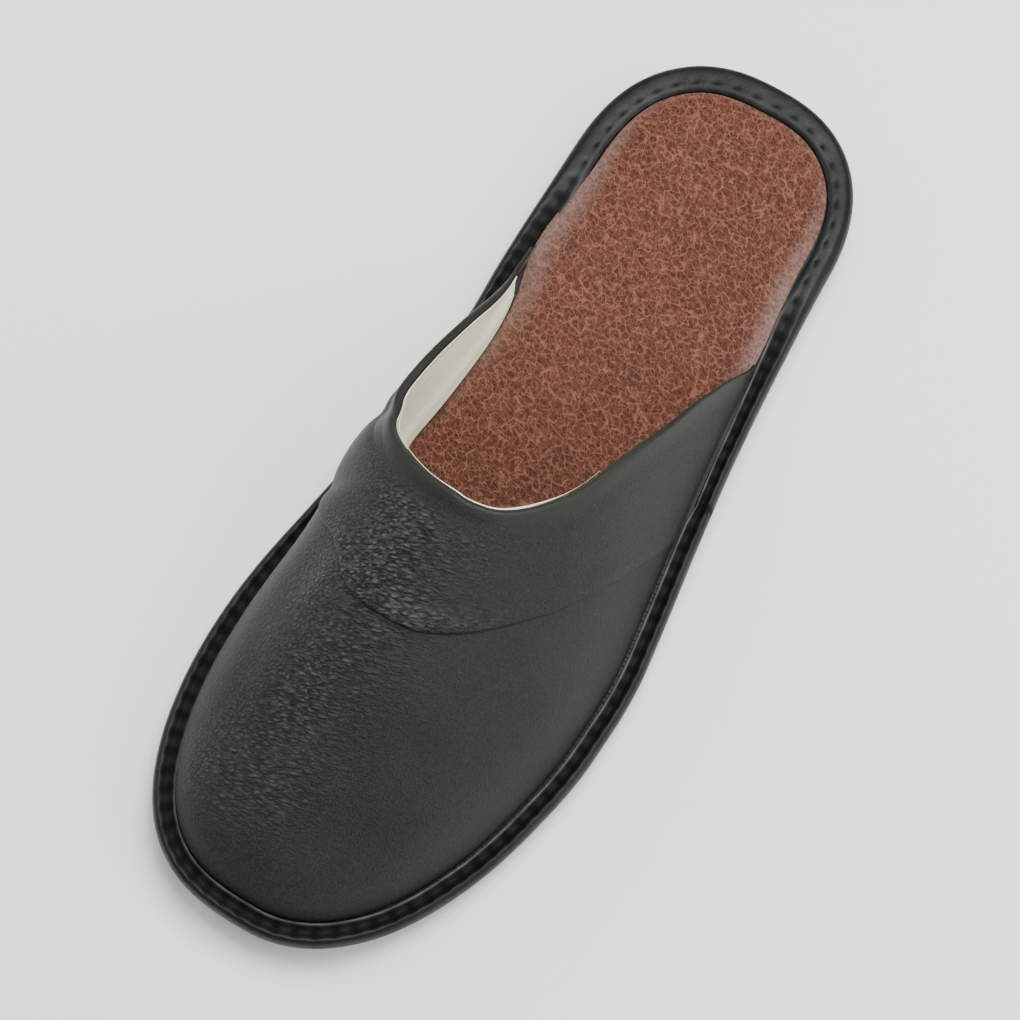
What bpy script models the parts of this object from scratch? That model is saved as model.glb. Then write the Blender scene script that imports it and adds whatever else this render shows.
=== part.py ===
"""A left house slipper: a closed vamp and instep band of black leather over a bound, low-heeled sole.

Metres, +Y towards the toe, +X towards the inner side of the foot, +Z up. The origin is on the floor,
half way along the sole and half way across it.
"""
import math

import bmesh
import bpy
import numpy as np

# Overall sizes of the sole and of the last
SOLE_LENGTH = 0.288
BALL_WIDTH = 0.1092
INSTEP_HEIGHT = 0.0625
HEEL_ROUND_LENGTH = 0.045
TOE_CENTRE_OFFSET = 0.003

# The rubber sole under the binding
HEEL_RUBBER = 0.0058
FOREPART_RUBBER = 0.0032
ARCH_RISE = 0.0022
TOE_SPRING = 0.0060
HEEL_BEVEL_RISE = 0.0008
RUBBER_SET_IN = 0.0011
TREAD_SET_IN = 0.0019

# The leather binding that wraps the sole's edge
BINDING_HEIGHT = 0.0070
BINDING_THICKNESS = 0.0014
BINDING_ROUND = 0.0030
FOREPART_LAP = 0.0064
HEEL_LAP = 0.0077
UNDER_LAP = 0.0050
STITCH_GROOVE_DEPTH = 0.0006
STITCH_GROOVE_WIDTH = 0.0014
STITCH_GROOVE_FROM_LIP = 0.0013

# Upper, instep band and insole
UPPER_WALL = 0.0022
BAND_THICKNESS = 0.0011
INSOLE_EDGE = 0.0009
INSOLE_CROWN = 0.0022
INSOLE_CROWN_WIDTH = 0.016
INSOLE_EASE = 0.0008
FIT_GAP = 0.0003

# Counts along the sole and up the upper
STATIONS = 44
WALL_STEPS = 13
BAND_STEPS = 6
ROUND_STEPS = 5

# Exponents of the rounded ends of the outline
HEEL_FULLNESS = 2.4
INNER_TOE_FULLNESS = 2.75
OUTER_TOE_FULLNESS = 2.1
TOE_ROUND_START = 0.695

# Where things start and end along the sole, as shares of its length
UPPER_BACK = 0.27
HEEL_WEDGE = (0.28, 0.52)
LAP_NARROWS = (0.16, 0.26)
INSOLE_NARROWS = (0.19, 0.255)
ARCH_SPAN = (0.27, 0.42, 0.58)
TOE_SPRING_START = 0.80
HEEL_BEVEL_END = 0.03

# Sole outline. along: share of the sole's length; inner, outer: shares of half the ball width
OUTLINE = np.array([
    # along, inner, outer
    (0.00, 0.750, 0.745),
    (0.10, 0.760, 0.757),
    (0.20, 0.766, 0.775),
    (0.30, 0.766, 0.808),
    (0.38, 0.750, 0.845),
    (0.46, 0.782, 0.896),
    (0.54, 0.852, 0.953),
    (0.62, 0.922, 1.002),
    (0.70, 0.987, 0.992),
    (0.78, 1.014, 0.953),
    (0.86, 1.018, 0.928),
    (1.00, 1.000, 0.915),
])

# Cross-sections of the last. along: share of length; ridge: share of the instep height;
# shift: how far the ridge lies to the inner side, and bulges: how far the walls swell past the
# seam, as shares of half the ball width; full: exponents of the two walls' curves
LAST_SECTIONS = np.array([
    # along, ridge, shift, inner full, outer full, inner bulge, outer bulge
    (0.24, 1.350, 0.075, 1.05, 1.20, 0.000, 0.000),
    (0.30, 1.310, 0.082, 1.15, 1.22, 0.000, 0.000),
    (0.35, 1.272, 0.090, 1.35, 1.25, 0.000, 0.000),
    (0.41, 1.205, 0.098, 1.80, 1.30, 0.012, 0.000),
    (0.47, 1.130, 0.108, 2.25, 1.36, 0.036, 0.000),
    (0.53, 1.053, 0.110, 2.35, 1.44, 0.052, 0.000),
    (0.585, 0.980, 0.110, 2.20, 1.52, 0.042, 0.000),
    (0.66, 0.892, 0.106, 1.95, 1.66, 0.010, 0.004),
    (0.74, 0.805, 0.092, 1.82, 1.80, 0.000, 0.000),
    (0.84, 0.700, 0.074, 1.90, 1.92, 0.000, 0.000),
    (0.92, 0.640, 0.060, 2.05, 2.05, 0.000, 0.000),
    (1.00, 0.590, 0.055, 2.20, 2.20, 0.000, 0.000),
])

# Topline. seam: share of the seam's length from its inner back end round the toe to the outer one;
# along: share of the sole's length; turn: degrees round the last from its ridge (0) down to the
# seam (90), + inner
TOPLINE = np.array([
    # seam, along, turn
    (0.000, 0.283, 83.0),
    (0.030, 0.322, 78.0),
    (0.052, 0.352, 72.5),
    (0.080, 0.396, 68.5),
    (0.112, 0.441, 66.0),
    (0.148, 0.486, 61.0),
    (0.187, 0.521, 54.5),
    (0.235, 0.547, 44.0),
    (0.300, 0.564, 33.0),
    (0.375, 0.577, 20.0),
    (0.480, 0.585, 4.0),
    (0.565, 0.586, -9.0),
    (0.635, 0.578, -18.7),
    (0.700, 0.556, -28.0),
    (0.770, 0.516, -38.0),
    (0.830, 0.463, -46.0),
    (0.880, 0.407, -54.5),
    (0.930, 0.350, -65.0),
    (0.980, 0.300, -79.0),
    (1.000, 0.275, -84.0),
])

# Front edge of the instep band. seam: as above; down: share of the way from topline to seam
BAND_FRONT = np.array([
    # seam, down
    (0.150, 1.000),
    (0.190, 0.930),
    (0.230, 0.750),
    (0.280, 0.540),
    (0.327, 0.400),
    (0.370, 0.345),
    (0.430, 0.330),
    (0.518, 0.320),
    (0.577, 0.328),
    (0.649, 0.358),
    (0.708, 0.412),
    (0.782, 0.535),
    (0.840, 0.760),
    (0.882, 1.000),
])


def material(name, colour, roughness, metallic=0.0):
    made = bpy.data.materials.new(name)
    made.use_nodes = True
    shader = made.node_tree.nodes["Principled BSDF"]
    shader.inputs["Base Color"].default_value = (*colour, 1.0)
    shader.inputs["Roughness"].default_value = roughness
    shader.inputs["Metallic"].default_value = metallic
    return made


def curve_through(table, column, at):
    """A smooth curve through one column of a table, read at values of its first column."""
    keys, values = table[:, 0], table[:, column]
    slopes = np.gradient(values, keys)
    at = np.clip(at, keys[0], keys[-1])
    low = np.clip(np.searchsorted(keys, at, side="right") - 1, 0, len(keys) - 2)
    step = keys[low + 1] - keys[low]
    s = (at - keys[low]) / step
    return ((2 * s**3 - 3 * s**2 + 1) * values[low] + (s**3 - 2 * s**2 + s) * step * slopes[low]
            + (3 * s**2 - 2 * s**3) * values[low + 1] + (s**3 - s**2) * step * slopes[low + 1])


def ease(start, end, value):
    """0 before start, 1 after end, and a smooth step between."""
    s = np.clip((value - start) / (end - start), 0.0, 1.0)
    return s * s * (3 - 2 * s)


def half_width(side, along):
    """Width of the outline from the long axis, without the rounding of its ends."""
    return curve_through(OUTLINE, 1 if side > 0 else 2, along) * BALL_WIDTH / 2


def toe_fullness(side):
    return INNER_TOE_FULLNESS if side > 0 else OUTER_TOE_FULLNESS


def toe_share(along, end=1.0):
    """0 up to where the toe starts to round, 1 at its end."""
    return np.clip((along - TOE_ROUND_START) / (end - TOE_ROUND_START), 0.0, 1.0)


def outline_x(side, along):
    """Distance of the sole's edge from the long axis on one side: + inner, - outer."""
    full = toe_fullness(side)
    width = half_width(side, along)
    centre = TOE_CENTRE_OFFSET * side
    toe = centre + (width - centre) * (1 - toe_share(along) ** full) ** (1 / full)
    behind = max(0.0, 1 - along * SOLE_LENGTH / HEEL_ROUND_LENGTH)
    heel = width * (1 - behind**HEEL_FULLNESS) ** (1 / HEEL_FULLNESS)
    return side * (toe if along > TOE_ROUND_START else heel)


def outline_ring():
    """Points round the sole's edge, x and share along: heel to toe inside, toe to heel outside."""
    alongs = [(1 - math.cos(math.pi * k / STATIONS)) / 2 for k in range(STATIONS + 1)]
    inner = [(outline_x(1, a), a) for a in alongs]
    outer = [(outline_x(-1, a), a) for a in alongs[-2:0:-1]]
    return np.array(inner + outer)


def edge_normals(points):
    """Inward unit normals of a closed ring of plan points."""
    tangents = np.roll(points, -1, 0) - np.roll(points, 1, 0)
    tangents /= np.linalg.norm(tangents, axis=1)[:, None]
    return np.stack([-tangents[:, 1], tangents[:, 0]], 1)


RING = outline_ring()
RING_ALONG = RING[:, 1]
RING_PLAN = np.stack([RING[:, 0], (RING_ALONG - 0.5) * SOLE_LENGTH], 1)
RING_INWARD = edge_normals(RING_PLAN)


def ground_rise(along):
    """Height of the sole's underside above the floor."""
    arch = ARCH_RISE * ease(ARCH_SPAN[0], ARCH_SPAN[1], along)
    arch *= 1 - ease(ARCH_SPAN[1], ARCH_SPAN[2], along)
    toe = TOE_SPRING * np.clip((along - TOE_SPRING_START) / (1 - TOE_SPRING_START), 0, 1) ** 2
    heel = HEEL_BEVEL_RISE * np.clip(1 - along / HEEL_BEVEL_END, 0, 1)
    return arch + toe + heel


def rubber_top(along):
    """Height of the rubber's upper edge, on which the binding lies."""
    heel = HEEL_RUBBER - FOREPART_RUBBER
    return ground_rise(along) + FOREPART_RUBBER + heel * (1 - ease(*HEEL_WEDGE, along))


def seam_height(along):
    """Height at which upper and insole lie on the sole's core."""
    return rubber_top(along) + FIT_GAP + BINDING_HEIGHT - BINDING_THICKNESS


def lap_width(along):
    """How far the binding's top reaches in from the sole's edge."""
    return FOREPART_LAP + (HEEL_LAP - FOREPART_LAP) * (1 - ease(*LAP_NARROWS, along))


def ring_at(inset, height):
    """The sole's ring moved inwards, at a height; each is a number or one value for each station."""
    plan = RING_PLAN + RING_INWARD * np.reshape(inset, (-1, 1))
    heights = np.broadcast_to(height, len(plan))
    return np.column_stack([plan, heights])


def new_object(name, mesh, finish):
    made = bpy.data.objects.new(name, mesh)
    made.data.materials.append(finish)
    made.data.shade_smooth()
    made.data.set_sharp_from_angle(angle=math.radians(40))
    SLIPPER.objects.link(made)
    return made


def loft(name, sections, finish, wrap=False, ladders=False):
    """Quads between neighbouring rows of points. wrap joins the last row to the first, and each
    row is a closed ring with ladders, whose first and last rows are closed by rungs across them."""
    work = bmesh.new()
    rows = [[work.verts.new(p) for p in section] for section in sections]
    closed_rows = wrap or ladders
    pairs = list(zip(rows, rows[1:] + rows[:1])) if wrap else list(zip(rows, rows[1:]))
    for low, high in pairs:
        count = len(low)
        for k in range(count if closed_rows else count - 1):
            n = (k + 1) % count
            work.faces.new((low[k], low[n], high[n], high[k]))
    if ladders:
        for row in (rows[0], rows[-1]):
            count = len(row)
            for k in range(count // 2):
                rung = [row[k], row[k + 1], row[(-k - 1) % count], row[-k % count]]
                work.faces.new(list(dict.fromkeys(rung)))
    bmesh.ops.recalc_face_normals(work, faces=work.faces)
    mesh = bpy.data.meshes.new(name)
    work.to_mesh(mesh)
    work.free()
    return new_object(name, mesh, finish)


def round_profile(depth, half_height):
    """The binding's round side from its underside up: inset from the edge, height over the rubber."""
    middle = BINDING_HEIGHT / 2
    angles = [math.pi * (k / ROUND_STEPS - 0.5) for k in range(ROUND_STEPS + 1)]
    return [(BINDING_ROUND - depth * math.cos(a), middle + half_height * math.sin(a)) for a in angles]


def make_sole(finish):
    """Rubber tread and heel, a neck for the binding's under lap, and the core inside the binding."""
    along = RING_ALONG
    top = rubber_top(along)
    clear = BINDING_THICKNESS + FIT_GAP
    core = round_profile(BINDING_ROUND - clear, BINDING_HEIGHT / 2 - clear)
    neck = UNDER_LAP + FIT_GAP
    rings = [ring_at(TREAD_SET_IN, ground_rise(along)),
             ring_at(RUBBER_SET_IN, ground_rise(along) + (TREAD_SET_IN - RUBBER_SET_IN)),
             ring_at(RUBBER_SET_IN, top),
             ring_at(neck, top),
             ring_at(neck, top + FIT_GAP + core[0][1])]
    rings += [ring_at(inset, top + FIT_GAP + height) for inset, height in core]
    return loft("sole", rings, finish, ladders=True)


def make_binding(finish):
    """A leather strip round the whole edge, with a stitched groove beside its upper lip."""
    outside = round_profile(BINDING_ROUND, BINDING_HEIGHT / 2)
    inside = round_profile(BINDING_ROUND - BINDING_THICKNESS, BINDING_HEIGHT / 2 - BINDING_THICKNESS)
    lap = lap_width(RING_ALONG)
    lip = lap - BINDING_ROUND
    groove_end = lip - STITCH_GROOVE_FROM_LIP
    groove_start = groove_end - STITCH_GROOVE_WIDTH
    groove_middle = (groove_start + groove_end) / 2
    top, low = BINDING_HEIGHT, BINDING_HEIGHT - BINDING_THICKNESS
    profile = [(UNDER_LAP, 0.0)]
    profile += outside
    profile += [(BINDING_ROUND + groove_start, top),
                (BINDING_ROUND + groove_middle, top - STITCH_GROOVE_DEPTH),
                (BINDING_ROUND + groove_end, top),
                (lap, top),
                (lap, low)]
    profile += inside[::-1]
    profile += [(UNDER_LAP, BINDING_THICKNESS)]
    base = rubber_top(RING_ALONG) + FIT_GAP
    rings = [ring_at(inset, base + height) for inset, height in profile]
    return loft("binding", rings, finish, wrap=True)


def insole_inset(along):
    """The insole meets the binding's lip at the heel and lies inside the upper's wall further on."""
    inside_upper = (UPPER_WALL + INSOLE_EASE) * ease(*INSOLE_NARROWS, along)
    return lap_width(along) + FIT_GAP + inside_upper


def make_insole(finish):
    """A padded sock: thin at its edge and crowned in the middle."""
    along = RING_ALONG
    edge = insole_inset(along)
    low = seam_height(along)
    rings = [ring_at(edge, low), ring_at(edge, low + INSOLE_EDGE)]
    for share in (0.22, 0.55, 1.0):
        rise = INSOLE_CROWN * math.sin(share * math.pi / 2)
        rings.append(ring_at(edge + INSOLE_CROWN_WIDTH * share, low + INSOLE_EDGE + rise))
    return loft("insole", rings, finish, ladders=True)


def seam_stations():
    """Ring stations at which the upper meets the sole, from its inner back end round the toe."""
    first = int(np.argmax(RING_ALONG[:STATIONS] >= UPPER_BACK))
    return list(range(first, 2 * STATIONS - first + 1))


STATIONS_USED = seam_stations()
SEAM_INSET = lap_width(RING_ALONG) + FIT_GAP
SEAM_RING = ring_at(SEAM_INSET, seam_height(RING_ALONG))
SEAM_LINE = SEAM_RING[STATIONS_USED]
SEAM_ALONG = RING_ALONG[STATIONS_USED]
SEAM_STEPS = np.linalg.norm(np.diff(SEAM_LINE[:, :2], axis=0), axis=1)
SEAM_SHARES = np.concatenate([[0.0], np.cumsum(SEAM_STEPS)]) / SEAM_STEPS.sum()
SEAM_TOE = 1 - (FOREPART_LAP + FIT_GAP) / SOLE_LENGTH
SKIRT = BINDING_THICKNESS + FIT_GAP


def along_of(y):
    return y / SOLE_LENGTH + 0.5


def ridge_x(along):
    return curve_through(LAST_SECTIONS, 2, along) * BALL_WIDTH / 2


def wall_width(side, along):
    """Plan distance from the ridge line to the seam, without the rounding of the toe."""
    return half_width(side, along) - lap_width(along) - FIT_GAP - side * ridge_x(along)


def topline_plan():
    """Plan points of the topline, one for each seam station."""
    along = curve_through(TOPLINE, 1, SEAM_SHARES)
    turn = np.radians(curve_through(TOPLINE, 2, SEAM_SHARES))
    inner = turn >= 0
    full = np.where(inner, curve_through(LAST_SECTIONS, 3, along), curve_through(LAST_SECTIONS, 4, along))
    width = np.where(inner, wall_width(1, along), wall_width(-1, along))
    across = np.sign(turn) * np.abs(np.sin(turn)) ** (2 / full) * width
    return np.stack([ridge_x(along) + across, (along - 0.5) * SOLE_LENGTH], -1)


def reach(plan):
    """0 on the ridge, 1 at the seam, and the plan direction in which it grows."""
    along = along_of(plan[..., 1])
    offset = plan[..., 0] - ridge_x(along)
    side = np.where(offset >= 0, 1, -1)
    width = np.where(side > 0, wall_width(1, along), wall_width(-1, along))
    full = np.where(side > 0, INNER_TOE_FULLNESS, OUTER_TOE_FULLNESS)
    across = np.abs(offset) / width
    forward = toe_share(along, SEAM_TOE)
    share = np.where(forward > 0, (across**full + forward**full) ** (1 / full), across)
    toe_length = (SEAM_TOE - TOE_ROUND_START) * SOLE_LENGTH
    grow = np.stack([side * across ** (full - 1) / width, forward ** (full - 1) / toe_length], -1)
    grow /= np.linalg.norm(grow, axis=-1, keepdims=True) + 1e-9
    return share, side * across, grow


def last_rows(down, steps):
    """Rows of points on the last's surface, one for each seam station, from the topline to a share
    down of the way to the seam. The spacing tightens outwards, where the surface turns down."""
    shares = np.sin(np.linspace(0, math.pi / 2, steps + 1))[None, :, None] * np.reshape(down, (-1, 1, 1))
    plan = topline_plan()[:, None, :] * (1 - shares) + SEAM_LINE[:, None, :2] * shares
    share, signed, grow = reach(plan)
    # The seam follows the binding's lip, so each row's share is drawn to 1 exactly there
    seam_share = reach(SEAM_LINE[:, :2])[0][:, None]
    share = np.clip(share * (1 + (1 / seam_share - 1) * (share / seam_share) ** 2), 0, 1)
    along = along_of(plan[..., 1])
    inner = ease(0, 1, 0.5 + 0.5 * np.clip(signed, -1, 1))
    full, bulge = (curve_through(LAST_SECTIONS, c, along) * inner
                   + curve_through(LAST_SECTIONS, c + 1, along) * (1 - inner) for c in (3, 5))
    low = seam_height(along) + SKIRT
    rise = (1 - share**full) ** (1 / full)
    height = low + (curve_through(LAST_SECTIONS, 1, along) * INSTEP_HEIGHT - low) * rise
    swell = bulge * BALL_WIDTH / 2 * np.sin(math.pi * rise**0.8) * ease(0, 0.5, share)
    return np.concatenate([plan + grow * swell[..., None], height[..., None]], -1)


def surface_normals(rows):
    """Outward unit normals of a grid of points."""
    normals = np.cross(np.gradient(rows, axis=1), np.gradient(rows, axis=0))
    return normals / (np.linalg.norm(normals, axis=-1, keepdims=True) + 1e-12)


def make_upper(finish):
    """Vamp and quarters as one leather wall over the last, standing on the sole's core."""
    rows = last_rows(np.ones(len(SEAM_LINE)), WALL_STEPS)
    made = loft("upper", np.concatenate([rows, SEAM_LINE[:, None, :]], 1), finish)
    wall = made.modifiers.new("wall", "SOLIDIFY")
    wall.thickness = UPPER_WALL
    wall.offset = -1.0
    wall.use_even_offset = True
    return made


def make_band(finish):
    """The instep band, laid on the upper from the topline to its own curved front edge."""
    rows = last_rows(curve_through(BAND_FRONT, 1, SEAM_SHARES), BAND_STEPS)
    outward = surface_normals(rows)
    inner = rows + outward * FIT_GAP
    outer = rows + outward * (FIT_GAP + BAND_THICKNESS)
    sections = np.concatenate([inner, outer[:, ::-1]], 1)
    floor = seam_height(SEAM_ALONG) + SKIRT
    sections[..., 2] = np.maximum(sections[..., 2], floor[:, None])
    return loft("instep_band", sections, finish, ladders=True)


def clear_scene():
    for old in list(bpy.data.objects):
        bpy.data.objects.remove(old)
    collection = bpy.data.collections.new("house_slipper")
    bpy.context.scene.collection.children.link(collection)
    return collection


SLIPPER = clear_scene()
make_sole(material("black rubber", (0.020, 0.020, 0.021), 0.75))
make_binding(material("binding leather", (0.022, 0.023, 0.024), 0.50))
make_insole(material("brown sock leather", (0.28, 0.085, 0.050), 0.60))
make_upper(material("vamp leather", (0.040, 0.041, 0.038), 0.48))
make_band(material("band leather", (0.042, 0.043, 0.040), 0.48))
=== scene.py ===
"""The looks of a left house slipper, laid out as an add-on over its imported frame.

Metres, +Y towards the toe, +X towards the inner side of the foot, +Z up. Each operator makes one
piece, or one group of like pieces, in its place on the sole. Most pieces follow the same last: a
seam share t runs along the upper's foot from its inner back end round the toe to the outer one,
and a drop w runs down from the topline, 0, to the seam on the sole, 1.
"""
import math

import bmesh
import bpy
import numpy as np
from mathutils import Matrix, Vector


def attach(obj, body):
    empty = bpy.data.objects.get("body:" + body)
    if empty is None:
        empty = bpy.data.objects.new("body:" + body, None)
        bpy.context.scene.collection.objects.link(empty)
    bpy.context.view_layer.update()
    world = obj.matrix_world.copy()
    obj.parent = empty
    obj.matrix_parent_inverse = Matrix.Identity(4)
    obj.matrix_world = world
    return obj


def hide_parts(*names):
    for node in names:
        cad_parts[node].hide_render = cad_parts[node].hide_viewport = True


bl_info = {
    "name": "House Slipper",
    "version": (1, 0, 0),
    "blender": (4, 5, 0),
    "location": "3D View > Sidebar > Slipper",
    "description": "Leather, stitching, lining and insole of a closed-toe house slipper",
    "category": "Add Mesh",
}

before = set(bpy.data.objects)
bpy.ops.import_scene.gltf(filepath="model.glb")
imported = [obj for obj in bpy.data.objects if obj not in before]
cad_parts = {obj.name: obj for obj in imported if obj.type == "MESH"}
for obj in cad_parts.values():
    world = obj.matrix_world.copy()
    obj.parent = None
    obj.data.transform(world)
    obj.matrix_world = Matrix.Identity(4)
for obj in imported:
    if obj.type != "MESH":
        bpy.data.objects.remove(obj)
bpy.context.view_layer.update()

MM = 0.001

# Sizes of the sole and of the last. The inner wall stands a little fuller than the frame's own
SOLE_LENGTH = 0.288
BALL_WIDTH = 0.1092
INSTEP_HEIGHT = 0.0625
HEEL_ROUND_LENGTH = 0.045
TOE_CENTRE_OFFSET = 0.003
HEEL_RUBBER = 0.0058
FOREPART_RUBBER = 0.0032
ARCH_RISE = 0.0022
TOE_SPRING = 0.0060
HEEL_BEVEL_RISE = 0.0008
RUBBER_SET_IN = 0.0011
BINDING_HEIGHT = 0.0070
BINDING_THICKNESS = 0.0014
BINDING_ROUND = 0.0030
FOREPART_LAP = 0.0064
HEEL_LAP = 0.0077
UPPER_WALL = 0.0022
FIT_GAP = 0.0003
HEEL_FULLNESS = 2.4
INNER_TOE_FULLNESS = 2.75
OUTER_TOE_FULLNESS = 2.1
TOE_ROUND_START = 0.695
UPPER_BACK_TURN = 16 / 88
HEEL_WEDGE = (0.28, 0.52)
LAP_NARROWS = (0.16, 0.26)
ARCH_SPAN = (0.27, 0.42, 0.58)
TOE_SPRING_START = 0.80
HEEL_BEVEL_END = 0.03

# Where pieces pass under one another, and how thin they are there
CORE_INSET = BINDING_ROUND + 0.0023
DIMPLE_ROOM = 0.0011
UNDERSIDE_DROP = 0.0008
FOOT_CLEARANCE = 0.0002
VAMP_THICKNESS = 0.0011
VAMP_OVERLAP = 0.10
THINNEST_RIM = 0.0003
INSOLE_ROUND = 0.0006
LAYER_GAP = 0.00006
LEAST_LAYER = 0.00004

# The rippled grain, in millimetres: its middle line, how that leans along the slipper, its half
# widths on the inner and outer side, and where along the slipper it fades
GRAIN_MIDDLE, GRAIN_LEAN, GRAIN_LEAN_FROM = 15.0, 0.06, 40
GRAIN_WIDTHS = (21.0, 19.0)
GRAIN_ENDS = (134, 112)
GRAIN_THINS = (52, 74)

# Steps along the binding for each stitch, how much longer the stitches are round the heel, how
# high and over how many stitches the binding wavers, and how dark the painted shade in its groove
# is
STEPS_A_STITCH = 10
HEEL_STITCH_GAIN = 0.27
WAVERS = ((0.00007, 5.3), (0.00004, 2.7), (0.00006, 11.0))
FOREPART_GROOVE_SHADE, HEEL_GROOVE_SHADE_LESS = 0.62, 0.57

# The instep band, as half width and middle in metres: the puffed fold, its puckers and the dip
# behind them, back from its front edge, and the hollow under the topline's roll
FOLD = (0.0021, 0.0024)
PUCKERS = (0.0030, 0.0034)
DIP = (0.0020, 0.0072)
HOLLOW = (0.0026, 0.0046)

# Sole outline. along: share of the sole's length; inner, outer: shares of half the ball width
OUTLINE = np.array([
    # along, inner, outer
    (0.00, 0.750, 0.745),
    (0.10, 0.760, 0.757),
    (0.20, 0.766, 0.775),
    (0.30, 0.766, 0.808),
    (0.38, 0.750, 0.845),
    (0.46, 0.782, 0.896),
    (0.54, 0.852, 0.953),
    (0.62, 0.922, 1.002),
    (0.70, 0.987, 0.992),
    (0.78, 1.014, 0.953),
    (0.86, 1.018, 0.928),
    (1.00, 1.000, 0.915),
])

# Cross-sections of the last. along: share of length; ridge: share of the instep height; shift: how
# far the ridge lies to the inner side, and bulges: how far the walls swell past the seam, as shares
# of half the ball width; full: exponents of the two walls' curves
LAST_SECTIONS = np.array([
    # along, ridge, shift, inner full, outer full, inner bulge, outer bulge
    (0.24, 1.350, 0.075, 1.05, 1.20, 0.000, 0.000),
    (0.30, 1.310, 0.082, 1.15, 1.22, 0.010, 0.000),
    (0.35, 1.272, 0.090, 1.35, 1.25, 0.036, 0.000),
    (0.41, 1.205, 0.098, 1.80, 1.30, 0.064, 0.000),
    (0.47, 1.130, 0.108, 2.25, 1.36, 0.078, 0.000),
    (0.53, 1.053, 0.110, 2.35, 1.44, 0.080, 0.000),
    (0.585, 0.980, 0.110, 2.20, 1.52, 0.064, 0.000),
    (0.66, 0.892, 0.106, 1.95, 1.66, 0.010, 0.004),
    (0.74, 0.805, 0.092, 1.82, 1.80, 0.000, 0.000),
    (0.84, 0.700, 0.074, 1.90, 1.92, 0.000, 0.000),
    (0.92, 0.640, 0.060, 2.05, 2.05, 0.000, 0.000),
    (1.00, 0.590, 0.055, 2.20, 2.20, 0.000, 0.000),
])

# Topline. seam: seam share; along: share of the sole's length; turn: degrees round the last from
# its ridge (0) down to the seam (90), + inner
TOPLINE = np.array([
    # seam, along, turn
    (0.000, 0.283, 83.0),
    (0.030, 0.322, 78.0),
    (0.052, 0.352, 72.5),
    (0.080, 0.396, 68.5),
    (0.112, 0.441, 66.0),
    (0.148, 0.486, 61.0),
    (0.187, 0.521, 54.5),
    (0.235, 0.547, 44.0),
    (0.300, 0.564, 33.0),
    (0.375, 0.577, 20.0),
    (0.480, 0.585, 4.0),
    (0.565, 0.586, -9.0),
    (0.635, 0.578, -18.7),
    (0.700, 0.556, -28.0),
    (0.770, 0.516, -38.0),
    (0.830, 0.463, -46.4),
    (0.880, 0.407, -55.2),
    (0.930, 0.351, -64.0),
    (0.980, 0.298, -77.5),
    (1.000, 0.277, -87.5),
])

# Front edge of the instep band. seam: seam share; drop: share of the way from topline to seam
BAND_FRONT = np.array([
    # seam, drop
    (0.150, 1.000),
    (0.190, 0.930),
    (0.230, 0.750),
    (0.280, 0.540),
    (0.327, 0.400),
    (0.370, 0.345),
    (0.430, 0.330),
    (0.518, 0.320),
    (0.577, 0.328),
    (0.649, 0.358),
    (0.708, 0.412),
    (0.782, 0.535),
    (0.840, 0.760),
    (0.882, 1.000),
])

# Soft folds and hollows of the upper. x, y: middle; bearing: degrees from +Y towards
# +X; length, width: half sizes; depth: + into the shoe. All sizes are in millimetres
FOLDS = np.array([
    # x, y, bearing, length, width, depth
    (40.0, 8.5, 96.0, 10.0, 3.8, 1.15),
    (40.5, 20.0, 90.0, 8.0, 6.0, -0.50),
    (42.0, 31.5, 86.0, 8.0, 3.4, 1.10),
    (34.0, 57.0, 6.0, 15.0, 5.5, 1.00),
    (35.0, 84.0, -14.0, 13.0, 4.5, 0.45),
    (12.0, 66.0, 74.0, 24.0, 3.2, 0.30),
    (16.0, 76.0, 88.0, 20.0, 2.8, 0.22),
    (18.0, 95.0, 70.0, 16.0, 4.0, 0.25),
    (-20.0, 44.0, 58.0, 22.0, 3.4, 0.25),
    (-31.0, 20.0, 28.0, 18.0, 4.0, 0.35),
    (4.0, 33.0, 84.0, 22.0, 3.0, 0.30),
    (-16.0, 118.0, 60.0, 16.0, 7.0, 0.30),
])

# Where the two lengths of binding meet, as turns round the sole's edge from the heel, and the
# width of the lap there, the slit beside it and its depth in metres
BINDING_JOINTS = (0.2500, 0.7690)
LAP_WIDTH, SLIT_WIDTH, SLIT_BESIDE, SLIT_DEPTH = 0.005, 0.0011, 0.003, 0.0008
HOLE_WIDTH = 0.20  # of a stitch

# Width of the binding's visible top, measured in from the sole's edge. turn: round the edge
BINDING_LIP = np.array([
    # turn, millimetres
    (0.000, 9.8),
    (0.050, 9.4),
    (0.100, 9.0),
    (0.165, 8.4),
    (0.200, 6.6),
    (0.260, 5.6),
    (0.300, 6.1),
    (0.350, 6.9),
    (0.400, 6.8),
    (0.460, 6.4),
    (0.540, 6.3),
    (0.600, 5.9),
    (0.765, 5.7),
    (0.772, 4.9),
    (0.800, 5.2),
    (0.822, 5.9),
    (0.845, 7.2),
    (0.900, 7.5),
    (0.950, 8.6),
    (1.000, 9.8),
])
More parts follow.
